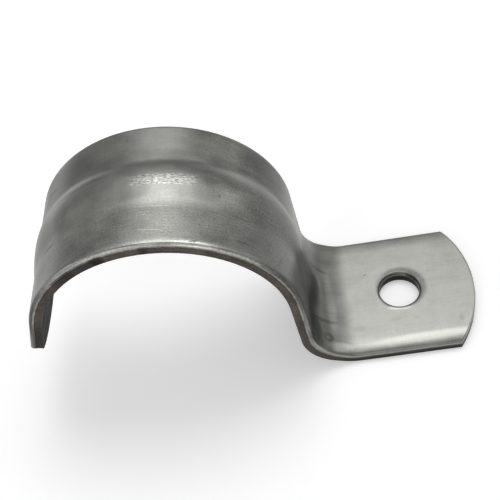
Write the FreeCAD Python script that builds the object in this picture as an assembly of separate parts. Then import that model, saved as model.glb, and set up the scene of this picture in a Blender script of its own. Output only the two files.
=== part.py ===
# One-hole strap for 2 inch rigid conduit, pressed from one piece of steel sheet.
# The saddle goes over the conduit: its axis is Y and the origin lies on it, at mid width.
# X runs from the free leg to the bolting tab, Z is up and the tab is level. Millimetres.
import FreeCAD, Part
import math
import os

conduit_diameter = 60.3     # 2 in rigid conduit, outside
saddle_clearance = 0.1      # on the diameter
sheet = 3.2                 # 1/8 in sheet
strip_width = 37.5
edge_roll = 0.8             # rounding of the outer rim, left by shearing

leg_turn = 71.8             # degrees of saddle from its top to the free leg
leg_length = 17.0           # from the saddle to the middle of the leg's end
leg_end_radius = 27.0
wall_turn = 86.0            # degrees of saddle from its top to the wall above the tab

heel_radius = 7.3           # the bend into the tab opens up in three steps, upper side
heel_turn = 45.5
sweep_radius = 11.8
sweep_turn = 14.5
ease_radius = 28.0          # turns what is left, until the tab is level

tab_drop = 21.9             # top of the tab below the conduit's axis
tab_reach = 78.8            # from the conduit's axis to the middle of the tab's end
tab_end_radius = 31.8
tab_crown = 0.35            # how much the tab's long sides fall away
crown_width = 6.0
hole_x = 58.7
hole_diameter = 11.1        # 7/16 in, for a 3/8 in bolt
hole_roll = 0.8
hole_tear = 0.5             # how much further out the torn lower end of the hole is
tear_height = 1.0

rib_height = 1.2
rib_crest = 11.0            # width of the rib's arched top, between its hollow flanks
rib_foot = 16.6
rib_leg_height = 0.7        # where the rib comes onto the free leg
rib_leg_gap = 4.0           # plain sheet between the rib's end and the leg's end
rib_full_turn = 30.0        # degrees before the top where the rib has its full height
rib_fade = 13.0             # length over which it fades out in the bend

over = 5.0                  # how far blanks and cutters run past the part
saddle_cuts = 7             # sections along the rising rib
bend_cuts = 4               # sections along each step of the bend

outer = (conduit_diameter + saddle_clearance) / 2 + sheet
half = strip_width / 2


def shifted(position, turn, ahead, up):
    # from a point on the sheet's outer line, which heads off at an angle in XZ
    angle = math.radians(turn)
    x = position[0] + math.cos(angle) * ahead - math.sin(angle) * up
    z = position[1] + math.sin(angle) * ahead + math.cos(angle) * up
    return (x, z)


def edge(places):
    points = [FreeCAD.Vector(*place) for place in places]
    chord = (points[-1] - points[0]).normalize()
    if all((point - points[0]).cross(chord).Length < 1e-7 for point in points):
        return Part.makeLine(points[0], points[-1])
    bezier = Part.BezierCurve()
    bezier.setPoles(points)
    return bezier.toShape()


def mirrored(points):
    return [(-y, up) for y, up in reversed(points)]


def section(position, turn, rib, crown):
    # the sheet cut across, each line as distances and heights: the rib is raised on the outer
    # side and hollow on the inner one, and the outer rims are rolled
    crest, foot, flat = rib_crest / 2, rib_foot / 2, half - edge_roll
    shoulder = rib * (foot - crest) / foot

    def arch(level):
        return [(-crest, level + shoulder), (0, level + 2 * rib - shoulder), (crest, level + shoulder)]

    def flank(level):
        return [(crest, level + shoulder), ((crest + foot) / 2, level), (foot, level)]

    right = [
        flank(0),
        [(foot, 0), (half - crown_width, 0), (flat, -crown)],
        [(flat, -crown), (half, -crown), (half, -edge_roll - crown)],
        [(half, -edge_roll - crown), (half, -sheet)],
        [(half, -sheet), (foot, -sheet)],
        flank(-sheet)[::-1],
    ]
    left = [mirrored(points) for points in reversed(right)]
    edges = []
    for line in [arch(0)] + right + [arch(-sheet)[::-1]] + left:
        placed = [shifted(position, turn, 0, up) for y, up in line]
        edges.append(edge([(x, y, z) for (x, z), (y, up) in zip(placed, line)]))
    return Part.Wire(edges)


def between(first, last, share):
    return first + (last - first) * share


def eased(share):
    return share * share * (3 - 2 * share)


def shares(steps):
    return [i / steps for i in range(steps + 1)]


def run(position, turn, length, ribs, crown=0.0):
    # skin of a straight stretch, with its rib height at each end, and where it gets to
    end = shifted(position, turn, length, 0)
    first = section(position, turn, ribs[0], crown)
    if ribs[0] == ribs[1]:
        return first.extrude(FreeCAD.Vector(end[0] - position[0], 0, end[1] - position[1])), end
    return Part.makeLoft([first, section(end, turn, ribs[1], crown)], False, True), end


def bend(position, turn, last_turn, radius, ribs, crowns):
    # skin of an arc with its centre over the sheet, or under it if the radius is negative
    centre = shifted(position, turn, 0, radius)
    end = shifted(centre, last_turn, 0, -radius)
    if len(set(ribs)) == 1 and len(set(crowns)) == 1:
        first = section(position, turn, ribs[0], crowns[0])
        pivot = FreeCAD.Vector(centre[0], 0, centre[1])
        return first.revolve(pivot, FreeCAD.Vector(0, 1, 0), turn - last_turn), end
    cuts = []
    for share, rib, crown in zip(shares(len(ribs) - 1), ribs, crowns):
        angle = between(turn, last_turn, share)
        cuts.append(section(shifted(centre, angle, 0, -radius), angle, rib, crown))
    return Part.makeLoft(cuts, False), end


def bend_steps():
    # radius and slope at the start and end of each step
    after_heel = wall_turn - heel_turn
    after_sweep = after_heel - sweep_turn
    return [
        (heel_radius, wall_turn, after_heel),
        (sweep_radius, after_heel, after_sweep),
        (ease_radius, after_sweep, 0.0),
    ]


def wall_length():
    # the straight wall takes what the bend leaves of the drop to the tab
    drop = 0.0
    for radius, first, last in bend_steps():
        drop += radius * (math.cos(math.radians(last)) - math.cos(math.radians(first)))
    wall = math.radians(wall_turn)
    return (outer * math.cos(wall) + tab_drop - drop) / math.sin(wall)


def strip():
    # the skins from past the free leg's end to past the tab's end close one solid
    skins = []
    leg_top = shifted((0, 0), leg_turn, 0, outer)
    start = shifted(leg_top, leg_turn, -leg_length - over, 0)
    skin, position = run(start, leg_turn, over + rib_leg_gap, (0, 0))
    skins.append(skin)
    skin, position = run(position, leg_turn, leg_length - rib_leg_gap, (0, rib_leg_height))
    skins.append(skin)

    ribs = [between(rib_leg_height, rib_height, eased(share)) for share in shares(saddle_cuts)]
    skin, position = bend(position, leg_turn, rib_full_turn, -outer, ribs, [0] * len(ribs))
    skins.append(skin)
    skin, position = bend(position, rib_full_turn, -wall_turn, -outer, [rib_height], [0])
    skins.append(skin)
    skin, position = run(position, -wall_turn, wall_length(), (rib_height, rib_height))
    skins.append(skin)

    travelled = 0.0
    for radius, slope, last_slope in bend_steps():
        length = radius * math.radians(slope - last_slope)
        ribs, crowns = [], []
        for share in shares(bend_cuts):
            faded = min(1.0, (travelled + length * share) / rib_fade)
            ribs.append(rib_height * (1 - eased(faded)))
            crowns.append(tab_crown * eased(share) if last_slope == 0 else 0)
        skin, position = bend(position, -slope, -last_slope, radius, ribs, crowns)
        skins.append(skin)
        travelled += length
    skin, end = run(position, 0, tab_reach + over - position[0], (0, 0), tab_crown)
    skins.append(skin)

    faces = [face for skin in skins for face in skin.Faces]
    faces.append(Part.Face(section(start, leg_turn, 0, 0)))
    faces.append(Part.Face(section(end, 0, 0, tab_crown)))
    shell = Part.Shell(faces)
    shell.sewShape()
    return Part.Solid(shell)


def turned(places):
    # a profile closed by a rolled rim, turned about Z: its first and last points end the roll
    corner = (places[0][0], places[-1][1])
    edges = [edge([(x, 0, z) for x, z in (places[-1], corner, places[0])])]
    for pair in zip(places, places[1:]):
        edges.append(edge([(x, 0, z) for x, z in pair]))
    face = Part.Face(Part.Wire(edges))
    return face.revolve(FreeCAD.Vector(0, 0, 0), FreeCAD.Vector(0, 0, 1), 360)


def end_cutter(radius):
    # what lies past a round end in +X, with the rolled rim on the upper side
    rim, far, low = radius - edge_roll, radius + strip_width, -sheet - over
    profile = [(radius, -edge_roll), (radius, low), (far, low), (far, over), (rim, over), (rim, 0)]
    block = Part.makeBox(far, 2 * far, over - low, FreeCAD.Vector(0, -far, low))
    return turned(profile).common(block)


def hole_cutter():
    bore = hole_diameter / 2
    torn, rim, low = bore + hole_tear, bore + hole_roll, -sheet - over
    profile = [(bore, -hole_roll), (bore, tear_height - sheet), (torn, -sheet), (torn, low),
               (0, low), (0, over), (rim, over), (rim, 0)]
    return turned(profile)


def strap():
    leg_end = end_cutter(leg_end_radius)
    leg_top = shifted((0, 0), leg_turn, 0, outer)
    centre = shifted(leg_top, leg_turn, leg_end_radius - leg_length, 0)
    leg_end.rotate(FreeCAD.Vector(0, 0, 0), FreeCAD.Vector(0, 0, 1), 180)
    leg_end.rotate(FreeCAD.Vector(0, 0, 0), FreeCAD.Vector(0, 1, 0), -leg_turn)
    leg_end.translate(FreeCAD.Vector(centre[0], 0, centre[1]))

    tab_end = end_cutter(tab_end_radius)
    tab_end.translate(FreeCAD.Vector(tab_reach - tab_end_radius, 0, -tab_drop))

    hole = hole_cutter()
    hole.translate(FreeCAD.Vector(hole_x, 0, -tab_drop))
    body = strip()
    for cutter in (hole, tab_end, leg_end):
        body = body.cut(cutter)
    return body.removeSplitter()


os.makedirs("parts", exist_ok=True)
part = strap()
solid = part.Solids[0]
solid.exportStep("parts/strap.step")
print("strap", "valid" if solid.isValid() else "not valid", len(part.Solids), "solid", round(solid.Volume), "mm3")
print("wall above the tab", round(wall_length(), 2), "mm, faces", len(solid.Faces))
print("box", solid.BoundBox)
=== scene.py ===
import math
import bpy
from mathutils import Matrix, Vector, noise


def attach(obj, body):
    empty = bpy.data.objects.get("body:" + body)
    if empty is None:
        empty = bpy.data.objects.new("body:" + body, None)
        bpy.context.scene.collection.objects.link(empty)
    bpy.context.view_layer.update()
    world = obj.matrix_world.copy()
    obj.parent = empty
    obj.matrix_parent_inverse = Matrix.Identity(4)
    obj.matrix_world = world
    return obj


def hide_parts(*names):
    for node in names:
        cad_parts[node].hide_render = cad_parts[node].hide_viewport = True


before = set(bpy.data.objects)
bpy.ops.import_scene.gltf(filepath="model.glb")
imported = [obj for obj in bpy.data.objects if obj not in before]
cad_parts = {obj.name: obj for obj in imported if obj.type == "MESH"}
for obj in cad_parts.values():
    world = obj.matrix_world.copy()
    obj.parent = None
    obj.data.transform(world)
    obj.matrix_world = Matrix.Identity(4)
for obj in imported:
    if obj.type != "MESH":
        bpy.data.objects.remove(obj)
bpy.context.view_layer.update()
mm = 0.001
outerSide, cutRim, innerSide = 0, 1, 2      # which side of the sheet a face is on

# A one-hole conduit strap, pressed from a strip of 3.2 mm steel sheet. The flat blank is made
# first, with its sheared rims and its punched hole, and a node tree then presses it into shape.
# Lengths are in mm. The outer line is the sheet's outer side, measured flat from the saddle's top.
strap = {
    "saddleRadius": 33.4,       # outer side of the sheet over a 2 in conduit
    "sheet": 3.2,
    "stripWidth": 37.5,
    "legTurn": 71.8,            # degrees of saddle from its top to the free leg
    "legLength": 17.0,
    "legEndRadius": 27.0,
    "wallTurn": 86.0,           # degrees of saddle from its top to the wall above the tab
    "heelRadius": 7.3,
    "heelTurn": 45.5,
    "sweepRadius": 11.8,
    "sweepTurn": 14.5,
    "easeRadius": 28.0,
    "tabDrop": 21.9,            # top of the tab below the conduit's axis
    "tabReach": 78.8,           # from the conduit's axis to the end of the tab
    "tabEndRadius": 31.8,
    "tabEndShift": 1.3,         # the tab's end was sheared a little off centre
    "tabEndRoll": 0.3,          # this end is rolled less than the sides, by this share
    "crownStart": 13.5,         # from the strip's middle to where the tab's long sides fall away
    "crownRun": 5.0,            # how far into the last bend they have fallen fully
    "crownFront": 0.8,
    "crownBack": 0.48,
    "crownCurve": 2.5,          # how late across the strip they start to fall
    "tabSettle": 7.4,           # the tab lies flat from this far before the last bend's end
    "settleStart": 0.6,         # past the heel's start
    "settleRun": 8.0,           # length over which the bend comes down to it
    "settleBlend": 3.0,         # softens the place from which it lies flat
    "ribHeight": 1.2,
    "ribCrest": 11.0,           # width of the rib's arched top, between its hollow flanks
    "ribFoot": 16.6,
    "ribShift": 0.4,            # the rib sits a little to the front, and its top leans back
    "ribLean": 1.3,
    "ribLegHeight": 0.7,
    "ribLegGap": 4.0,
    "ribFullTurn": 30.0,
    "ribFade": 7.5,             # length over which it fades out in the bend
    "pimple": (71.9, -14.1),    # a raised spot in the bend, where the press had a pit
    "pimpleRadius": 1.3,
    "pimpleHeight": 0.16,
    "rimRoll": 0.8,             # rounding of the outer rim, left by shearing
    "holeX": 58.7,
    "holeRadius": 5.35,
    "holeRoll": 0.9,
    "holeTear": 0.15,
    "tearHeight": 1.0,
    "shearDepth": 1.35,         # down to here the cut rim is smooth, below it the steel broke away
    "breakDepth": 0.14,         # how rough the broken part is
    "breakLumps": (0.9, 0.9, 1.3),      # lumps for each mm along, across and down it
    "breakRings": (0.12, 0.3, 0.5, 0.7, 0.88),      # shares of its depth
    "cell": 0.5,                # spacing of the blank's faces
    "tipCell": 0.45,            # the same past the hole
    "legEndReach": 22.0,        # how far in from the leg's end the columns bend to its round shape
    "holePatch": 8.0,           # half the side of the square of faces round the hole
    "patchRings": 8,
    "patchPull": 0.8,           # below 1 the rings lie closer together at the hole
    "rollRings": 5,
    "sharpAngle": 40.0,         # edges turned more than this, in degrees, are shaded sharp
}


def flatStations(sizes):
    # where each stretch of the strip starts on the outer line, in the order from leg to tab
    radius = sizes["saddleRadius"]
    slopes = [sizes["wallTurn"], sizes["wallTurn"] - sizes["heelTurn"]]
    slopes += [slopes[1] - sizes["sweepTurn"], 0.0]
    radii = [sizes["heelRadius"], sizes["sweepRadius"], sizes["easeRadius"]]
    drop, reach = 0.0, 0.0
    for bendRadius, steep, flat in zip(radii, slopes, slopes[1:]):
        drop += bendRadius * (math.cos(math.radians(flat)) - math.cos(math.radians(steep)))
        reach += bendRadius * (math.sin(math.radians(steep)) - math.sin(math.radians(flat)))
    wall = math.radians(sizes["wallTurn"])
    wallLength = (radius * math.cos(wall) + sizes["tabDrop"] - drop) / math.sin(wall)
    stations = {"leg": -radius * math.radians(sizes["legTurn"]), "wall": radius * wall}
    stations["end"] = stations["leg"] - sizes["legLength"]
    stations["heel"] = stations["wall"] + wallLength
    stations["sweep"] = stations["heel"] + radii[0] * math.radians(sizes["heelTurn"])
    stations["ease"] = stations["sweep"] + radii[1] * math.radians(sizes["sweepTurn"])
    stations["tab"] = stations["ease"] + radii[2] * math.radians(slopes[2])
    levelX = radius * math.sin(wall) + wallLength * math.cos(wall) + reach
    stations["hole"] = stations["tab"] + sizes["holeX"] - levelX
    stations["tip"] = stations["tab"] + sizes["tabReach"] - levelX
    return stations


def spread(first, last, cell):
    # even steps from first to last, as near to the cell's size as they fit
    count = max(1, round(abs(last - first) / cell))
    return [first + (last - first) * i / count for i in range(count + 1)]


def makeBlank(sizes, at):
    # the flat strip as a closed mesh: its top and bottom share one pattern of faces, with a
    # square patch that closes in on the round hole, and rings of faces run down the cut rims
    half, sheet, cell, patch = sizes["stripWidth"] / 2, sizes["sheet"], sizes["cell"], sizes["holePatch"]
    inner = spread(-patch, patch, cell)
    outerRows = spread(0, 1, cell / (half - patch))
    columns = spread(at["end"], at["hole"] - patch, cell)[:-1]
    first = len(columns)
    columns += [at["hole"] + x for x in inner]
    last = len(columns) - 1
    columns += spread(at["hole"] + patch, at["tip"], sizes["tipCell"])[1:]
    low = len(outerRows) - 1
    high = low + len(inner) - 1
    endColumn, endRow = len(columns) - 1, high + low

    def rowY(j, inset):
        edge = half - inset
        if j < low:
            return -patch - (edge - patch) * outerRows[low - j]
        if j > high:
            return patch + (edge - patch) * outerRows[j - high]
        return inner[j - low]

    def place(i, j, inset, depth):
        # where a point of the pattern lies, with both ends drawn to their round shapes
        x, y = columns[i], rowY(j, inset)
        legArc = sizes["legEndRadius"] - inset
        back = sizes["legEndRadius"] - math.sqrt(legArc ** 2 - y * y)
        near = max(0.0, 1 - (x - at["end"]) / sizes["legEndReach"])
        tipArc = sizes["tabEndRadius"] - inset * sizes["tabEndRoll"]
        side = y - sizes["tabEndShift"]
        ahead = math.sqrt(tipArc ** 2 - side * side) - sizes["tabEndRadius"]
        far = max(0.0, (x - at["hole"] - patch) / (at["tip"] - at["hole"] - patch))
        return (x + back * near + ahead * far, y, -depth)

    def loopRound(left, right, bottom, top):
        # the pattern's spots round a rectangle, one after the other
        spots = [(i, bottom) for i in range(left, right)]
        spots += [(right, j) for j in range(bottom, top)]
        spots += [(i, top) for i in range(right, left, -1)]
        return spots + [(left, j) for j in range(top, bottom, -1)]

    vertices, faces, zones = [], [], []
    holeSpots = loopRound(first, last, low, high)
    rimSpots = loopRound(0, endColumn, 0, endRow)

    def addPoint(point):
        vertices.append(point)
        return len(vertices) - 1

    def addFace(loop, zone, flip):
        faces.append(tuple(reversed(loop)) if flip else loop)
        zones.append(zone)

    def onHole(spot, radius, depth):
        x, y = place(*spot, 0, 0)[:2]
        dx = x - at["hole"]
        length = math.hypot(dx, y)
        return (at["hole"] + dx / length * radius, y / length * radius, -depth)

    def bridge(one, two, zone, flip=False):
        for k in range(len(one)):
            n = (k + 1) % len(one)
            addFace((one[k], one[n], two[n], two[k]), zone, flip)

    def sheetSide(inset, depth, holeRadius, zone, flip):
        # one side of the sheet, with the loops of points at its rim and at its hole
        index = {}
        for i in range(len(columns)):
            for j in range(endRow + 1):
                if not (first < i < last and low < j < high):
                    index[i, j] = addPoint(place(i, j, inset, depth))
        for i in range(endColumn):
            for j in range(endRow):
                if not (first <= i < last and low <= j < high):
                    loop = (index[i, j], index[i + 1, j], index[i + 1, j + 1], index[i, j + 1])
                    addFace(loop, zone, flip)
        ring = [index[spot] for spot in holeSpots]
        for k in range(1, sizes["patchRings"] + 1):
            share = (k / sizes["patchRings"]) ** sizes["patchPull"]
            nextRing = []
            for spot in holeSpots:
                square, circle = place(*spot, 0, depth), onHole(spot, holeRadius, depth)
                nextRing.append(addPoint(tuple(a + (b - a) * share for a, b in zip(square, circle))))
            bridge(ring, nextRing, zone, flip)
            ring = nextRing
        return [index[spot] for spot in rimSpots], ring

    roll, holeRoll = sizes["rimRoll"], sizes["holeRoll"]
    bore, torn = sizes["holeRadius"], sizes["holeRadius"] + sizes["holeTear"]
    topRim, topHole = sheetSide(roll, 0.0, bore + holeRoll, outerSide, False)
    bottomRim, bottomHole = sheetSide(0.0, sheet, torn, innerSide, True)
    shares = [k / sizes["rollRings"] for k in range(1, sizes["rollRings"] + 1)]

    # down the outer rim: rolled, then cut smooth, then broken
    smoothDepth = sizes["shearDepth"]
    levels = [(roll * (1 - share) ** 2, roll * share ** 2, outerSide) for share in shares]
    levels.append((0.0, smoothDepth, cutRim))
    levels += [(0.0, smoothDepth + (sheet - smoothDepth) * share, cutRim) for share in sizes["breakRings"]]
    ring = topRim
    for inset, depth, zone in levels:
        nextRing = []
        for spot in rimSpots:
            rough = 0.0
            if depth > smoothDepth:
                point = zip(place(*spot, inset, depth), sizes["breakLumps"])
                lumps = noise.noise(Vector([value * rate for value, rate in point]))
                rough = sizes["breakDepth"] * (0.55 + 0.45 * lumps)     # from a tenth to all of it
            nextRing.append(addPoint(place(*spot, inset + rough, depth)))
        bridge(ring, nextRing, zone, True)
        ring = nextRing
    bridge(ring, bottomRim, cutRim, True)

    # down the hole: rolled, then straight, then torn wider
    tearDepth = sheet - sizes["tearHeight"]
    levels = [(bore + holeRoll * (1 - share) ** 2, holeRoll * share ** 2, outerSide) for share in shares]
    levels += [(bore, holeRoll + (tearDepth - holeRoll) * k / 2, cutRim) for k in (1, 2)]
    levels.append(((bore + torn) / 2, (tearDepth + sheet) / 2, cutRim))
    ring = topHole
    for radius, depth, zone in levels:
        nextRing = [addPoint(onHole(spot, radius, depth)) for spot in holeSpots]
        bridge(ring, nextRing, zone)
        ring = nextRing
    bridge(ring, bottomHole, cutRim)

    mesh = bpy.data.meshes.new("strapBlank")
    mesh.from_pydata([Vector(point) * mm for point in vertices], [], faces)
    flat = mesh.attributes.new("flat", "FLOAT_VECTOR", "POINT")
    for item, point in zip(flat.data, vertices):
        item.vector = Vector(point) * mm
    zoneLayer = mesh.attributes.new("zone", "INT", "FACE")
    zoneLayer.data.foreach_set("value", zones)
    mesh.update()
    print("blank", len(vertices), "points", len(faces), "faces")
    return mesh


def addNode(tree, kind, inputs=(), **settings):
    # a node with its settings; inputs go by order or by name, each a value, a socket or a node
    node = tree.nodes.new(kind)
    for name, value in settings.items():
        setattr(node, name, value)
    pairs = inputs.items() if isinstance(inputs, dict) else enumerate(inputs)
    for key, value in pairs:
        if isinstance(value, bpy.types.NodeSocket):
            tree.links.new(value, node.inputs[key])
        elif isinstance(value, bpy.types.Node):
            tree.links.new(value.outputs[0], node.inputs[key])
        else:
            node.inputs[key].default_value = value
    return node


def pressingTree(sizes, at, steel, cutEdge, inside):
    # presses the flat strip along its outer line: straight stretches and arcs follow each other,
    # each adds its own shift and turn, and the rib and the crown move the sheet along its normal
    tree = bpy.data.node_groups.new("pressStrap", "GeometryNodeTree")
    tree.interface.new_socket("Blank", in_out="INPUT", socket_type="NodeSocketGeometry")
    settle = at["heel"] + sizes["settleStart"]
    lengths = {
        "Leg Top": at["leg"],
        "Wall Start": at["wall"],
        "Heel Start": at["heel"],
        "Sweep Start": at["sweep"],
        "Ease Start": at["ease"],
        "Tab Start": at["tab"],
        "Saddle Radius": sizes["saddleRadius"],
        "Heel Radius": sizes["heelRadius"],
        "Sweep Radius": sizes["sweepRadius"],
        "Ease Radius": sizes["easeRadius"],
        "Rib Height": sizes["ribHeight"],
        "Rib Height On Leg": sizes["ribLegHeight"],
        "Rib Crest": sizes["ribCrest"] / 2,
        "Rib Foot": sizes["ribFoot"] / 2,
        "Rib Shift": sizes["ribShift"],
        "Rib Lean": sizes["ribLean"],
        "Rib Start": at["end"] + sizes["ribLegGap"],
        "Rib Full": -sizes["saddleRadius"] * math.radians(sizes["ribFullTurn"]),
        "Rib End": at["heel"] + sizes["ribFade"],
        "Crown Start": sizes["crownStart"],
        "Crown End": sizes["stripWidth"] / 2,
        "Crown Full": at["ease"] + sizes["crownRun"],
        "Crown Front": sizes["crownFront"],
        "Crown Back": sizes["crownBack"],
        "Pimple Radius": sizes["pimpleRadius"],
        "Pimple Height": sizes["pimpleHeight"],
        "Tab Settle": sizes["tabSettle"],
        "Settle Start": settle,
        "Settle Full": settle + sizes["settleRun"],
        "Settle Blend": sizes["settleBlend"],
        "Sheet": sizes["sheet"],
    }
    values = {name: length * mm for name, length in lengths.items()}
    values["Leg Lean"] = math.radians(sizes["legTurn"])
    values["Crown Curve"] = sizes["crownCurve"]
    inputValues = {}
    for name, value in values.items():
        socket = tree.interface.new_socket(name, in_out="INPUT", socket_type="NodeSocketFloat")
        inputValues[socket.identifier] = value
    tree.interface.new_socket("Strap", in_out="OUTPUT", socket_type="NodeSocketGeometry")

    made = {socket.name: socket for socket in addNode(tree, "NodeGroupInput").outputs}
    place = addNode(tree, "GeometryNodeInputPosition")
    made["along"], made["across"], made["up"] = addNode(tree, "ShaderNodeSeparateXYZ", [place]).outputs

    def follow(steps):
        # each step names its result, then what is done, then the values or the names it is done with
        for name, operation, *inputs in steps:
            inputs = [made[item] if isinstance(item, str) else item for item in inputs]
            if operation in ("LINEAR", "SMOOTHSTEP"):
                made[name] = addNode(tree, "ShaderNodeMapRange", inputs, interpolation_type=operation)
            else:
                made[name] = addNode(tree, "ShaderNodeMath", inputs, operation=operation)

    follow([
        ("over", "MULTIPLY", "Saddle Radius", -1.0),        # the saddle bends the other way
        ("sine", "SINE", "Leg Lean"),
        ("cosine", "COSINE", "Leg Lean"),
        ("x", "MULTIPLY", "sine", "over"),
        ("z", "MULTIPLY", "cosine", "Saddle Radius"),
    ])
    made["heading"] = made["Leg Lean"]
    line = addNode(tree, "ShaderNodeCombineXYZ", [made["x"], made["across"], made["z"]])
    beyond = 1.0                # in metres, past either end of the strip
    stretches = [
        (-beyond, "Leg Top", None),
        ("Leg Top", "Wall Start", "over"),
        ("Wall Start", "Heel Start", None),
        ("Heel Start", "Sweep Start", "Heel Radius"),
        ("Sweep Start", "Ease Start", "Sweep Radius"),
        ("Ease Start", "Tab Start", "Ease Radius"),
        ("Tab Start", beyond, None),
    ]
    for start, end, radius in stretches:
        # how far along this stretch each point lies: the leg is measured back from its end
        follow([
            ("held", "MAXIMUM", "along", start),
            ("held", "MINIMUM", "held", end),
            ("ahead", "SUBTRACT", "held", end if start == -beyond else start),
        ])
        if radius:
            follow([
                ("turn", "DIVIDE", "ahead", radius),
                ("heading", "ADD", "heading", "turn"),
                ("newSine", "SINE", "heading"),
                ("newCosine", "COSINE", "heading"),
                ("x", "SUBTRACT", "newSine", "sine"),
                ("x", "MULTIPLY", "x", radius),
                ("z", "SUBTRACT", "cosine", "newCosine"),
                ("z", "MULTIPLY", "z", radius),
            ])
            made["sine"], made["cosine"] = made["newSine"], made["newCosine"]
        else:
            follow([("x", "MULTIPLY", "cosine", "ahead"), ("z", "MULTIPLY", "sine", "ahead")])
        shift = addNode(tree, "ShaderNodeCombineXYZ", [made["x"], 0.0, made["z"]])
        line = addNode(tree, "ShaderNodeVectorMath", [line, shift], operation="ADD")

    # the rib: an arched top that hollow flanks lead down to its feet
    follow([
        ("moved", "ADD", "across", "Rib Shift"),
        ("span", "SUBTRACT", "Rib Foot", "Rib Shift"),
        ("share", "DIVIDE", "moved", "span"),
        ("outward", "MULTIPLY", "share", "share"),
        ("inward", "SUBTRACT", 1.0, "outward"),
        ("lean", "MULTIPLY", "Rib Lean", "inward"),
        ("aside", "MULTIPLY", "share", "Rib Foot"),
        ("aside", "SUBTRACT", "aside", "lean"),
        ("aside", "ABSOLUTE", "aside"),
        ("archSize", "MULTIPLY", "Rib Crest", "Rib Foot"),
        ("fall", "MULTIPLY", "aside", "aside"),
        ("fall", "DIVIDE", "fall", "archSize"),
        ("arch", "SUBTRACT", 1.0, "fall"),
        ("flankWidth", "SUBTRACT", "Rib Foot", "Rib Crest"),
        ("flankSize", "MULTIPLY", "Rib Foot", "flankWidth"),
        ("toFoot", "SUBTRACT", "Rib Foot", "aside"),
        ("toFoot", "MAXIMUM", "toFoot", 0.0),
        ("flank", "MULTIPLY", "toFoot", "toFoot"),
        ("flank", "DIVIDE", "flank", "flankSize"),
        ("onFlank", "GREATER_THAN", "aside", "Rib Crest"),
    ])
    shapes = {"Switch": made["onFlank"], "False": made["arch"], "True": made["flank"]}
    made["profile"] = addNode(tree, "GeometryNodeSwitch", shapes, input_type="FLOAT")
    follow([
        ("onLeg", "LINEAR", "along", "Rib Start", "Leg Top", 0.0, "Rib Height On Leg"),
        ("gain", "SUBTRACT", "Rib Height", "Rib Height On Leg"),
        ("rising", "SMOOTHSTEP", "along", "Leg Top", "Rib Full", 0.0, "gain"),
        ("fading", "SMOOTHSTEP", "along", "Heel Start", "Rib End", 1.0, 0.0),
        ("rib", "ADD", "onLeg", "rising"),
        ("rib", "MULTIPLY", "rib", "fading"),
        ("rib", "MULTIPLY", "rib", "profile"),
    ])

    # the crown: the tab's long sides fall away on the upper side, front and back by their own
    # amounts
    follow([
        ("fromMiddle", "ABSOLUTE", "across"),
        ("falling", "LINEAR", "fromMiddle", "Crown Start", "Crown End", 0.0, 1.0),
        ("falling", "POWER", "falling", "Crown Curve"),
        ("side", "LINEAR", "across", -mm, mm, "Crown Front", "Crown Back"),
        ("onTab", "SMOOTHSTEP", "along", "Sweep Start", "Crown Full", 0.0, "side"),
        ("under", "MULTIPLY", "Sheet", -1.0),
        ("upper", "LINEAR", "up", "under", 0.0, 0.0, 1.0),
        ("crown", "MULTIPLY", "falling", "onTab"),
        ("crown", "MULTIPLY", "crown", "upper"),
    ])

    # the last bend has settled flat onto its seat near the tab
    follow([
        ("toTab", "SUBTRACT", "Tab Start", "along"),
        ("toTab", "MAXIMUM", "toTab", 0.0),
        ("toTab", "SMOOTH_MIN", "toTab", "Tab Settle", "Settle Blend"),
        ("above", "MULTIPLY", "toTab", "toTab"),
        ("easeWidth", "MULTIPLY", "Ease Radius", 2.0),
        ("above", "DIVIDE", "above", "easeWidth"),
        ("settling", "SMOOTHSTEP", "along", "Settle Start", "Settle Full", 0.0, -1.0),
        ("settled", "MULTIPLY", "above", "settling"),
    ])

    # the raised spot, then everything that moves the sheet along its normal
    spot = Vector((*sizes["pimple"], 0.0)) * mm
    away = addNode(tree, "ShaderNodeVectorMath", [place, spot], operation="DISTANCE")
    made["fromPimple"] = away.outputs["Value"]
    follow([
        ("pimple", "SMOOTHSTEP", "fromPimple", 0.0, "Pimple Radius", "Pimple Height", 0.0),
        ("lift", "ADD", "up", "rib"),
        ("lift", "SUBTRACT", "lift", "crown"),
        ("lift", "ADD", "lift", "pimple"),
        ("x", "MULTIPLY", "sine", -1.0),
    ])
    normal = addNode(tree, "ShaderNodeCombineXYZ", [made["x"], 0.0, made["cosine"]])
    lifted = addNode(tree, "ShaderNodeVectorMath", {0: normal, "Scale": made["lift"]}, operation="SCALE")
    lowered = addNode(tree, "ShaderNodeCombineXYZ", [0.0, 0.0, made["settled"]])
    for shift in (lifted, lowered):
        line = addNode(tree, "ShaderNodeVectorMath", [line, shift], operation="ADD")
    pressed = addNode(tree, "GeometryNodeSetPosition", {"Geometry": made["Blank"], "Position": line})
    geometry = addNode(tree, "GeometryNodeRealizeInstances", [pressed])
    zone = addNode(tree, "GeometryNodeInputNamedAttribute", {"Name": "zone"}, data_type="INT")
    for number, material in ((outerSide, steel), (cutRim, cutEdge), (innerSide, inside)):
        pair = {2: zone, 3: number}         # the compare node's whole-number inputs
        chosen = addNode(tree, "FunctionNodeCompare", pair, data_type="INT", operation="EQUAL")
        settings = {"Geometry": geometry, "Selection": chosen, "Material": material}
        geometry = addNode(tree, "GeometryNodeSetMaterial", settings)
    addNode(tree, "NodeGroupOutput", [geometry])
    return tree, inputValues


def linear(code):
    # an sRGB hex colour as linear values
    parts = [int(code[i:i + 2], 16) / 255 for i in (1, 3, 5)]
    return [p / 12.92 if p <= 0.04045 else ((p + 0.055) / 1.055) ** 2.4 for p in parts] + [1.0]


def newMaterial(name):
    material = bpy.data.materials.new(name)
    material.use_nodes = True
    tree = material.node_tree
    tree.nodes.clear()
    return material, tree


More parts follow.
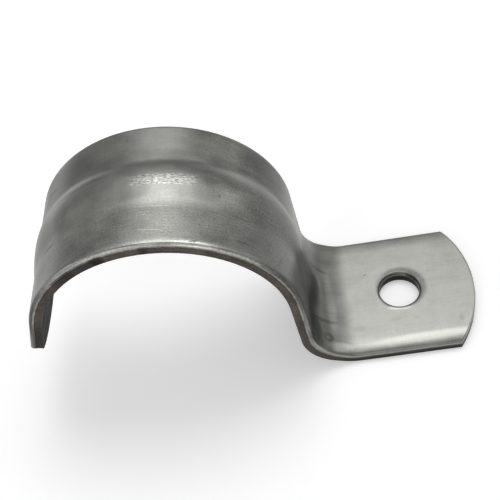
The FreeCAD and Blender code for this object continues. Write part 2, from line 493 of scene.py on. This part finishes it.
def stripPlace(tree):
    # where a point lies on the flat strip, in mm: along it, across it and down into the sheet
    flat = addNode(tree, "ShaderNodeAttribute", attribute_name="flat").outputs["Vector"]
    return addNode(tree, "ShaderNodeVectorMath", {0: flat, "Scale": 1 / mm}, operation="SCALE")


def patternTones(tree, place, patterns):
    # multiplies noises of real sizes in mm into one tone around 1, and gives each by its name
    tone, named = 1.0, {}
    for name, (size, detail, spread) in patterns.items():
        scale = tuple(1 / length for length in size)
        spot = addNode(tree, "ShaderNodeVectorMath", [place, scale], operation="MULTIPLY")
        settings = {"Vector": spot, "Scale": 1.0, "Detail": detail, "Roughness": 0.6}
        cloud = addNode(tree, "ShaderNodeTexNoise", settings)
        # most of a noise lies between 0.3 and 0.7
        named[name] = addNode(tree, "ShaderNodeMapRange", [cloud, 0.3, 0.7, 1 - spread, 1 + spread])
        tone = addNode(tree, "ShaderNodeMath", [tone, named[name]], operation="MULTIPLY")
    return tone, named


def markGroup(softFrom=0.45):
    # one mark: a soft-edged streak or spot that makes the steel lighter or darker, for stains and wear and
    # for painted shade and painted highlights
    tree = bpy.data.node_groups.new("wearAndPaintedLightMark", "ShaderNodeTree")
    for name in ("Place", "Centre", "Turn", "Size"):
        tree.interface.new_socket(name, in_out="INPUT", socket_type="NodeSocketVector")
    tree.interface.new_socket("Tone", in_out="INPUT", socket_type="NodeSocketFloat")
    tree.interface.new_socket("Tone", in_out="OUTPUT", socket_type="NodeSocketFloat")
    *placing, strength = addNode(tree, "NodeGroupInput").outputs[:5]
    spot = addNode(tree, "ShaderNodeMapping", placing, vector_type="TEXTURE")
    away = addNode(tree, "ShaderNodeVectorMath", [spot], operation="LENGTH").outputs["Value"]
    reach = [away, softFrom, 1.0, strength, 1.0]
    tone = addNode(tree, "ShaderNodeMapRange", reach, interpolation_type="SMOOTHSTEP")
    addNode(tree, "NodeGroupOutput", [tone])
    return tree


def markTones(tree, place, marks, group, tone):
    through = 20.0              # a mark's depth in mm, more than the sheet's
    for along, across, length, width, turn, strength in marks:
        mark = addNode(tree, "ShaderNodeGroup", node_tree=group)
        tree.links.new(place.outputs[0], mark.inputs["Place"])
        mark.inputs["Centre"].default_value = (along, across, 0)
        mark.inputs["Turn"].default_value = (0, 0, math.radians(turn))
        mark.inputs["Size"].default_value = (length / 2, width / 2, through)
        mark.inputs["Tone"].default_value = strength
        tone = addNode(tree, "ShaderNodeMath", [tone, mark], operation="MULTIPLY")
    return tone


def wavering(tree, place, amount):
    # shifts a place by a fraction of a mm, so that marks have uneven edges
    lumps = {"Vector": place, "Scale": 1.3, "Detail": 3.0}      # 1.3 lumps to the mm
    shake = addNode(tree, "ShaderNodeTexNoise", lumps)
    middle = (0.5, 0.5, 0.5)
    shake = addNode(tree, "ShaderNodeVectorMath", [shake.outputs["Color"], middle], operation="SUBTRACT")
    shake = addNode(tree, "ShaderNodeVectorMath", {0: shake, "Scale": amount}, operation="SCALE")
    return addNode(tree, "ShaderNodeVectorMath", [place, shake], operation="ADD")


# mill-finished steel, rolled along the strip: satin, streaked, with the marks that the press and
# handling left, and with painted shade and painted highlights among its marks. Patterns give sizes
# in mm, as along, across and deep, then the detail and the spread. The real grain is finer than a
# tenth of a mm, and is drawn as coarse as it needs to show.
mill = {
    "colour": "#91928d",
    "roughness": 0.36,
    "relief": 0.02,
    "waver": 0.5,
    "patterns": {
        "rolling": ((45.0, 0.55, 5.0), 3.0, 0.028),
        "fineRolling": ((7.0, 0.2, 5.0), 2.0, 0.04),
        "crosswise": ((0.6, 9.0, 5.0), 2.0, 0.03),
        "cloud": ((7.0, 5.0, 5.0), 5.0, 0.14),
        "grain": ((0.32, 0.28, 1.0), 2.0, 0.10),
    },
    # the saddle's front band and flanks are scratched and pitted the most: from and to, across or
    # along the strip, then the share of it
    "handling": {"scratches": ((5.0, 0.24, 1.0), 3.0, 0.22), "pits": ((0.5, 0.38, 1.0), 3.0, 0.34)},
    "handledFront": (-2.5, -9.0, 0.68),
    "handledWall": (8.0, 28.0, 1.0),
    "handledLeg": (-24.0, -34.0, 0.6),
    "handledEnd": (60.0, 68.0),         # fades out over this stretch
    # a patch on the saddle's crest, rubbed bright
    "rubbing": {"rubbed": ((0.9, 0.24, 1.0), 4.0, 0.85), "scuffed": ((4.5, 0.2, 1.0), 2.0, 0.25)},
    "rubbedGain": 1.25,
    "rubbedEdge": 0.8,                  # the share of its half width that is fully rubbed
    "rubbedPlace": (6.4, -0.4, 0.0),
    "rubbedSize": (8.2, 1.7, 20.0),     # to each side of its middle
    "holeRimShade": (5.9, 7.4, 0.52, 0.7),   # painted shade round the hole: dark to here, plain steel, tone, shift off the middle
    # along, across, length, width, turn in degrees, tone
    "marks": [
        # painted shade and painted highlights: these darken the saddle's flanks and parts of its bands,
        # dim and narrow the highlights on the rib, and lighten the crest and bands where the light falls
        # brighter
        (-36.0, 0.0, 30.0, 120.0, 0, 0.50),     # flanks darkened as painted shade
        (40.0, 0.0, 35.0, 120.0, 0, 0.49),
        (36.0, 14.0, 22.0, 12.0, 0, 0.60),
        (58.0, 0.0, 24.0, 120.0, 0, 0.65),
        (-25.0, 11.0, 32.0, 18.0, 0, 0.64),
        (-16.0, 3.6, 24.0, 3.2, 0, 0.66),
        (-21.0, -13.0, 18.0, 14.0, 0, 0.84),
        (-12.0, -7.0, 17.0, 18.0, 0, 1.28),
        (0.0, -2.6, 10.0, 7.5, 0, 0.76),
        (16.0, -3.0, 9.0, 8.0, 0, 0.80),
        (21.0, 13.0, 14.0, 14.0, 0, 1.30),
        (22.0, -8.0, 18.0, 16.0, 0, 1.15),
        (6.0, 9.0, 50.0, 4.0, 0, 0.86),
        (8.0, -18.4, 64.0, 3.2, 0, 1.40),       # front rim's roll: painted highlight over the saddle, painted shade beside it
        (13.0, -18.5, 12.0, 2.2, 0, 1.80),
        (-45.0, -18.4, 40.0, 3.0, 0, 0.60),
        (43.0, -18.4, 26.0, 3.0, 0, 0.62),
        (17.0, 0.2, 5.0, 2.6, 0, 0.84),         # stains and scratches on the saddle, with painted light among them
        (-27.3, 11.8, 7.5, 1.1, -17, 0.40),
        (-33.3, 12.0, 2.6, 1.4, 10, 0.40),
        (-25.2, -7.8, 6.5, 1.0, 1, 0.45),
        (-31.8, -11.6, 3.8, 1.1, 68, 0.40),
        (-33.8, -10.4, 2.6, 0.9, 64, 0.45),
        (3.6, -14.6, 6.5, 0.6, -5, 1.35),
        # a painted highlight along the rib's front foot
        (5.4, -7.7, 14.0, 0.5, -2, 1.25),
        (13.0, -17.8, 2.8, 0.7, 12, 0.42),
        (19.2, -3.6, 1.0, 0.9, 0, 0.66),
        (18.0, -10.4, 1.0, 0.9, 0, 0.74),
        (14.5, -12.8, 0.8, 1.5, 0, 0.76),
        (14.7, -15.4, 0.8, 1.2, 0, 0.78),
        # painted shade along the rib's front foot
        (24.6, -7.8, 9.0, 0.6, 1, 0.76),
        (24.6, -14.9, 5.0, 0.7, 0, 0.62),
        (-2.4, 14.7, 0.9, 0.8, 0, 0.74),
        # painted shade that narrows the highlight on the rib's back shoulder, then painted highlights on
        # the crest
        (38.0, 8.6, 30.0, 3.4, 0, 0.76),
        (28.0, -3.0, 20.0, 9.0, 0, 1.28),
        (7.5, -4.6, 6.0, 3.0, 0, 1.14),
        (33.0, -12.0, 6.0, 1.2, 62, 0.86),
        (38.5, -10.0, 5.0, 1.0, 74, 1.16),
        (37.0, -14.0, 7.0, 1.1, 58, 0.84),
        # painted light in the bend: shade where it turns away, dark lines along the press's creases,
        # highlights where it meets the tab and on its front roll, and a highlight with shade round the
        # raised spot
        (66.3, -6.0, 46.0, 6.5, 75, 0.56),      # the bend: painted shade in it and along its creases
        (67.8, -12.5, 5.5, 12.0, 8, 0.66),
        (74.0, -3.0, 3.6, 24.0, 0, 1.22),
        (71.5, 8.4, 7.0, 1.7, -18, 0.72),
        (71.0, -9.0, 11.0, 1.5, 0, 0.68),
        (71.9, -14.1, 4.4, 3.6, 0, 0.72),
        (71.9, -14.1, 1.9, 1.6, 0, 1.45),
        (67.5, 12.0, 9.0, 13.0, 0, 0.72),
        (74.8, -16.6, 9.5, 3.6, 0, 1.60),
        (97.0, -16.0, 40.0, 3.4, 1, 1.34),      # the tab: a painted highlight along its front roll, then marks on it
        (92.6, -5.9, 8.0, 2.0, -5, 1.60),
        (97.4, 3.8, 3.0, 5.5, 35, 0.62),
        (84.9, 6.4, 1.2, 0.8, 20, 0.66),
        (107.7, -11.7, 1.6, 2.8, 0, 0.82),
        (96.3, -9.8, 1.6, 0.8, 10, 0.84),
        (91.0, -9.6, 4.5, 1.6, 0, 0.90),
        (81.0, -11.0, 5.0, 2.6, 0, 0.88),
    ],
}


def holeShadeTone(tree, place, values, hole):
    # painted shade: a darker tone for the steel close round the hole
    dark, bare, tone, shift = values
    centre = (-hole - shift, -shift, 0)
    away = addNode(tree, "ShaderNodeVectorMath", [place, (1, 1, 0), centre], operation="MULTIPLY_ADD")
    away = addNode(tree, "ShaderNodeVectorMath", [away], operation="LENGTH").outputs["Value"]
    reach = [away, dark, bare, tone, 1.0]
    return addNode(tree, "ShaderNodeMapRange", reach, interpolation_type="SMOOTHSTEP")


def millSteel(values, group, hole):
    material, tree = newMaterial("millFinishSteel")
    place = stripPlace(tree)
    tone, named = patternTones(tree, place, values["patterns"])
    uneven = wavering(tree, place, values["waver"])
    tone = markTones(tree, uneven, values["marks"], group, tone)

    along, across = addNode(tree, "ShaderNodeSeparateXYZ", [place]).outputs[:2]
    handled = 0.0
    for way, name in ((across, "handledFront"), (along, "handledWall"), (along, "handledLeg")):
        start, end, share = values[name]
        reach = addNode(tree, "ShaderNodeMapRange", [way, start, end, 0.0, share])
        handled = addNode(tree, "ShaderNodeMath", [handled, reach], operation="MAXIMUM")
    reach = addNode(tree, "ShaderNodeMapRange", [along, *values["handledEnd"], 1.0, 0.0])
    handled = addNode(tree, "ShaderNodeMath", [handled, reach], operation="MULTIPLY")

    patch = {"Vector": uneven, "Location": values["rubbedPlace"], "Scale": values["rubbedSize"]}
    patch = addNode(tree, "ShaderNodeMapping", patch, vector_type="TEXTURE")
    patch = addNode(tree, "ShaderNodeVectorMath", [patch], operation="ABSOLUTE")
    patch = addNode(tree, "ShaderNodeSeparateXYZ", [patch]).outputs
    edge = addNode(tree, "ShaderNodeMath", [patch[0], patch[1]], operation="MAXIMUM")
    reach = [edge, values["rubbedEdge"], 1.0, 1.0, 0.0]
    rubbed = addNode(tree, "ShaderNodeMapRange", reach, interpolation_type="SMOOTHSTEP")

    for share, name, gain in ((handled, "handling", 1.0), (rubbed, "rubbing", values["rubbedGain"])):
        worn = patternTones(tree, place, values[name])[0]
        worn = addNode(tree, "ShaderNodeMath", [worn, gain], operation="MULTIPLY")
        blend = {0: share, 2: 1.0, 3: worn}     # the mix node's factor and its two numbers
        worn = addNode(tree, "ShaderNodeMix", blend, data_type="FLOAT")
        tone = addNode(tree, "ShaderNodeMath", [tone, worn], operation="MULTIPLY")
    rim = holeShadeTone(tree, uneven, values["holeRimShade"], hole)
    tone = addNode(tree, "ShaderNodeMath", [tone, rim], operation="MULTIPLY")

    paint = {0: linear(values["colour"])[:3], "Scale": tone}
    paint = addNode(tree, "ShaderNodeVectorMath", paint, operation="SCALE")
    roughness = [named["cloud"], values["roughness"]]
    roughness = addNode(tree, "ShaderNodeMath", roughness, operation="MULTIPLY")
    height = [named["fineRolling"], named["grain"]]
    height = addNode(tree, "ShaderNodeMath", height, operation="ADD")
    relief = {"Height": height, "Strength": 1.0, "Distance": values["relief"] * mm}
    bump = addNode(tree, "ShaderNodeBump", relief)
    shader = addNode(tree, "ShaderNodeBsdfPrincipled", {
        "Base Color": paint, "Metallic": 1.0, "Roughness": roughness, "Normal": bump})
    addNode(tree, "ShaderNodeOutputMaterial", {"Surface": shader})
    return material


# sheared steel: the smooth upper part of a cut, then the broken part, dark and granular
sheared = {
    "smooth": "#8d8a84",
    "broken": "#4f4a44",
    "line": "#2f2c29",
    "lineAbove": 0.05,          # how far it fades, as shares of the sheet's thickness
    "lineBelow": 0.08,
    "roughness": 0.55,
    "bareness": 0.75,
    "relief": 0.08,
    "waver": 0.35,
    "bore": (6.6, 7.6, 0.16, 0.0),      # painted shade down the hole's bore, given as for the rim of the hole on the outer side
    # grime, as along, across, length, width, turn in degrees, tone
    "marks": [
        (-9.5, -18.75, 4.2, 9.0, 0, 0.24),
        (-17.0, -18.75, 21.0, 9.0, 0, 0.58),
        (-18.5, -18.75, 5.0, 9.0, 0, 0.62),
        (-28.0, -18.75, 6.0, 9.0, 0, 0.80),
        (-52.0, -18.75, 25.0, 9.0, 0, 0.40),
        (2.0, -18.75, 3.0, 9.0, 0, 0.55),
        (14.0, -18.75, 7.0, 9.0, 0, 1.35),
        (34.0, -18.75, 9.0, 9.0, 0, 0.90),
        (52.0, -18.75, 8.0, 9.0, 0, 1.30),
        (95.0, -18.75, 58.0, 9.0, 0, 0.56),
    ],
    "patterns": {
        "grain": ((0.35, 0.35, 0.35), 3.0, 0.32),
        "cloud": ((4.5, 3.5, 1.6), 4.0, 0.35),
    },
}


def shearedEdge(values, sizes, hole, group):
    material, tree = newMaterial("shearedSteelEdge")
    place = stripPlace(tree)
    tone, named = patternTones(tree, place, values["patterns"])
    uneven = wavering(tree, place, values["waver"])
    tone = markTones(tree, uneven, values["marks"], group, tone)
    bore = holeShadeTone(tree, place, values["bore"], hole)
    tone = addNode(tree, "ShaderNodeMath", [tone, bore], operation="MULTIPLY")

    depth = addNode(tree, "ShaderNodeSeparateXYZ", [uneven]).outputs[2]
    share = addNode(tree, "ShaderNodeMapRange", [depth, 0.0, -sizes["sheet"], 0.0, 1.0])
    bands = addNode(tree, "ShaderNodeValToRGB", [share])
    middle = sizes["shearDepth"] / sizes["sheet"]
    smoothEnd, end = bands.color_ramp.elements
    smoothEnd.position, smoothEnd.color = middle - values["lineAbove"], linear(values["smooth"])
    end.position, end.color = 1.0, linear(values["broken"])
    for position, colour in ((middle, "line"), (middle + values["lineBelow"], "broken")):
        bands.color_ramp.elements.new(position).color = linear(values[colour])

    paint = addNode(tree, "ShaderNodeVectorMath", {0: bands, "Scale": tone}, operation="SCALE")
    relief = {"Height": named["grain"], "Strength": 1.0, "Distance": values["relief"] * mm}
    bump = addNode(tree, "ShaderNodeBump", relief)
    shader = addNode(tree, "ShaderNodeBsdfPrincipled", {
        "Base Color": paint, "Metallic": values["bareness"], "Roughness": values["roughness"],
        "Normal": bump})
    addNode(tree, "ShaderNodeOutputMaterial", {"Surface": shader})
    return material


# the sheet's inner side: the same steel under a dull brownish film of old oil, its colour darkened
# far below the outer side's as painted shade for the shade under the strap, with its grain
# drawn as coarse as the outer side's
inner = {
    # painted shade: far darker than the steel's own colour
    "colour": "#1c1916",
    "roughness": 0.75,
    "bareness": 0.22,           # how much bare metal shows
    "shine": 0.2,               # of the film
    "relief": 0.03,
    "patterns": {
        "rolling": ((30.0, 0.8, 5.0), 3.0, 0.16),
        "cloud": ((6.0, 4.0, 4.0), 4.0, 0.16),
        "grain": ((0.35, 0.3, 1.0), 2.0, 0.10),
    },
}


def insideSteelPaintedShade(values):
    material, tree = newMaterial("dullInnerSteelPaintedShade")
    tone, named = patternTones(tree, stripPlace(tree), values["patterns"])
    paint = {0: linear(values["colour"])[:3], "Scale": tone}
    paint = addNode(tree, "ShaderNodeVectorMath", paint, operation="SCALE")
    roughness = [named["cloud"], values["roughness"]]
    roughness = addNode(tree, "ShaderNodeMath", roughness, operation="MULTIPLY")
    relief = {"Height": named["grain"], "Strength": 1.0, "Distance": values["relief"] * mm}
    bump = addNode(tree, "ShaderNodeBump", relief)
    shader = addNode(tree, "ShaderNodeBsdfPrincipled", {
        "Base Color": paint, "Metallic": values["bareness"], "Roughness": roughness, "Normal": bump,
        "Specular IOR Level": values["shine"]})
    addNode(tree, "ShaderNodeOutputMaterial", {"Surface": shader})
    return material


def makeStrap():
    at = flatStations(strap)
    blank = bpy.data.objects.new("strapBlank", makeBlank(strap, at))
    bpy.context.scene.collection.objects.link(blank)
    group = markGroup()
    steel = millSteel(mill, group, at["hole"])
    cutEdge = shearedEdge(sheared, strap, at["hole"], group)
    inside = insideSteelPaintedShade(inner)
    print("steel ready")
    tree, inputValues = pressingTree(strap, at, steel, cutEdge, inside)
    press = blank.modifiers.new("press", "NODES")
    press.node_group = tree
    for identifier, value in inputValues.items():
        press[identifier] = value
    depsgraph = bpy.context.evaluated_depsgraph_get()
    shaped = bpy.data.meshes.new_from_object(
        blank.evaluated_get(depsgraph), preserve_all_data_layers=True, depsgraph=depsgraph)
    blank.modifiers.remove(press)
    bpy.data.objects.remove(blank)
    shaped.name = "pressedStrap"
    shaped.polygons.foreach_set("use_smooth", [True] * len(shaped.polygons))
    shaped.set_sharp_from_angle(angle=math.radians(strap["sharpAngle"]))
    piece = bpy.data.objects.new("pressedStrap", shaped)
    bpy.context.scene.collection.objects.link(piece)
    print("strap pressed", len(shaped.polygons), "faces")
    return piece


piece = makeStrap()
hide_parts("strap")
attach(piece, "root")

# the camera as the photo has it: the tab is level and the picture is rolled. Angles are in
# degrees and lengths in mm.
camera = {
    "elevation": 49.79,
    "azimuth": 7.96,
    "roll": -14.60,
    "distance": 207.32,
    "aside": 20.68,
    "above": 5.66,
    "focalPixels": 801.4,
    "framePixels": 500,
    "sensor": 36.0,
    "nearest": 10.0,            # nothing closer than this is drawn
}


def makeCamera(view):
    elevation, azimuth, roll = (math.radians(view[name]) for name in ("elevation", "azimuth", "roll"))
    level = Vector((math.sin(azimuth), -math.cos(azimuth), 0.0))
    back = level * math.cos(elevation) + Vector((0.0, 0.0, math.sin(elevation)))
    right = Vector((math.cos(azimuth), math.sin(azimuth), 0.0))
    upward = back.cross(right)
    turnedRight = right * math.cos(roll) + upward * math.sin(roll)
    turnedUp = upward * math.cos(roll) - right * math.sin(roll)
    data = bpy.data.cameras.new("camera")
    data.sensor_width = view["sensor"]
    data.lens = view["focalPixels"] / view["framePixels"] * view["sensor"]
    data.clip_start = view["nearest"] * mm
    eye = bpy.data.objects.new("camera", data)
    place = turnedRight * view["aside"] + turnedUp * view["above"] + back * view["distance"]
    turned = Matrix((turnedRight, turnedUp, back)).transposed().to_4x4()
    eye.matrix_world = Matrix.Translation(place * mm) @ turned
    bpy.context.scene.collection.objects.link(eye)
    bpy.context.scene.camera = eye
    print("camera ready")


makeCamera(camera)

# the pale surface that the tab is bolted to
studio = {
    "floorLevel": -25.1,
    "floorGap": 0.05,           # keeps the floor's face clear of the tab's
    "floorSize": 3000.0,
    "floorColour": "#f6f6f6",
    "floorGlow": 0.32,
}


def makeFloor(values):
    half, z = values["floorSize"] / 2 * mm, (values["floorLevel"] - values["floorGap"]) * mm
    corners = [(-half, -half, z), (half, -half, z), (half, half, z), (-half, half, z)]
    mesh = bpy.data.meshes.new("floor")
    mesh.from_pydata(corners, [], [(0, 1, 2, 3)])
    floor = bpy.data.objects.new("floor", mesh)
    bpy.context.scene.collection.objects.link(floor)
    material, tree = newMaterial("paleFloor")
    # a glow that lamps don't see lifts the floor to white and leaves the strap's shadow on it
    rays = addNode(tree, "ShaderNodeLightPath").outputs
    seen = rays["Is Camera Ray"]
    for name in ("Is Glossy Ray", "Is Transmission Ray"):
        seen = addNode(tree, "ShaderNodeMath", [seen, rays[name]], operation="MAXIMUM")
    glow = addNode(tree, "ShaderNodeMath", [seen, values["floorGlow"]], operation="MULTIPLY")
    shader = addNode(tree, "ShaderNodeAddShader", [
        addNode(tree, "ShaderNodeBsdfDiffuse", {"Color": linear(values["floorColour"])}),
        addNode(tree, "ShaderNodeEmission", {"Color": (1, 1, 1, 1), "Strength": glow})])
    addNode(tree, "ShaderNodeOutputMaterial", {"Surface": shader})
    mesh.materials.append(material)


# soft panels on a dome over the strap: height in degrees, turn from straight behind it to its
# right, and brightness
panels = {
    "middle": (20.0, 0.0, 0.0),
    "distance": 1000.0,
    "size": 420.0,
    "watts": 2.13,
    "places": [
        (72, 0, 0.74), (72, 60, 0.13), (56, 10, 0.32), (56, 50, 0.48), (56, -35, 0.16),
        (38, 0, 0.10), (35, 65, 0.13), (45, 180, 0.30), (20, -150, 0.60), (20, -95, 0.50),
    ],
    "air": 0.33,                # what comes evenly from all round
}


def makePanels(values):
    middle = Vector(values["middle"]) * mm
    for height, turn, brightness in values["places"]:
        up, side = math.radians(height), math.radians(turn)
        away = Vector((math.sin(side) * math.cos(up), math.cos(side) * math.cos(up), math.sin(up)))
        data = bpy.data.lights.new("panel", "AREA")
        data.size = values["size"] * mm
        data.energy = values["watts"] * brightness
        panel = bpy.data.objects.new("panel", data)
        panel.location = middle + away * values["distance"] * mm
        panel.rotation_euler = (-away).to_track_quat("-Z", "Y").to_euler()
        panel.visible_camera = False
        bpy.context.scene.collection.objects.link(panel)
    world = bpy.data.worlds.new("studio")
    world.use_nodes = True
    world.node_tree.nodes.clear()
    air = {"Color": (1, 1, 1, 1), "Strength": values["air"]}
    air = addNode(world.node_tree, "ShaderNodeBackground", air)
    addNode(world.node_tree, "ShaderNodeOutputWorld", [air])
    bpy.context.scene.world = world


makeFloor(studio)
makePanels(panels)
bpy.context.scene.view_settings.view_transform = "Standard"
print("studio ready")
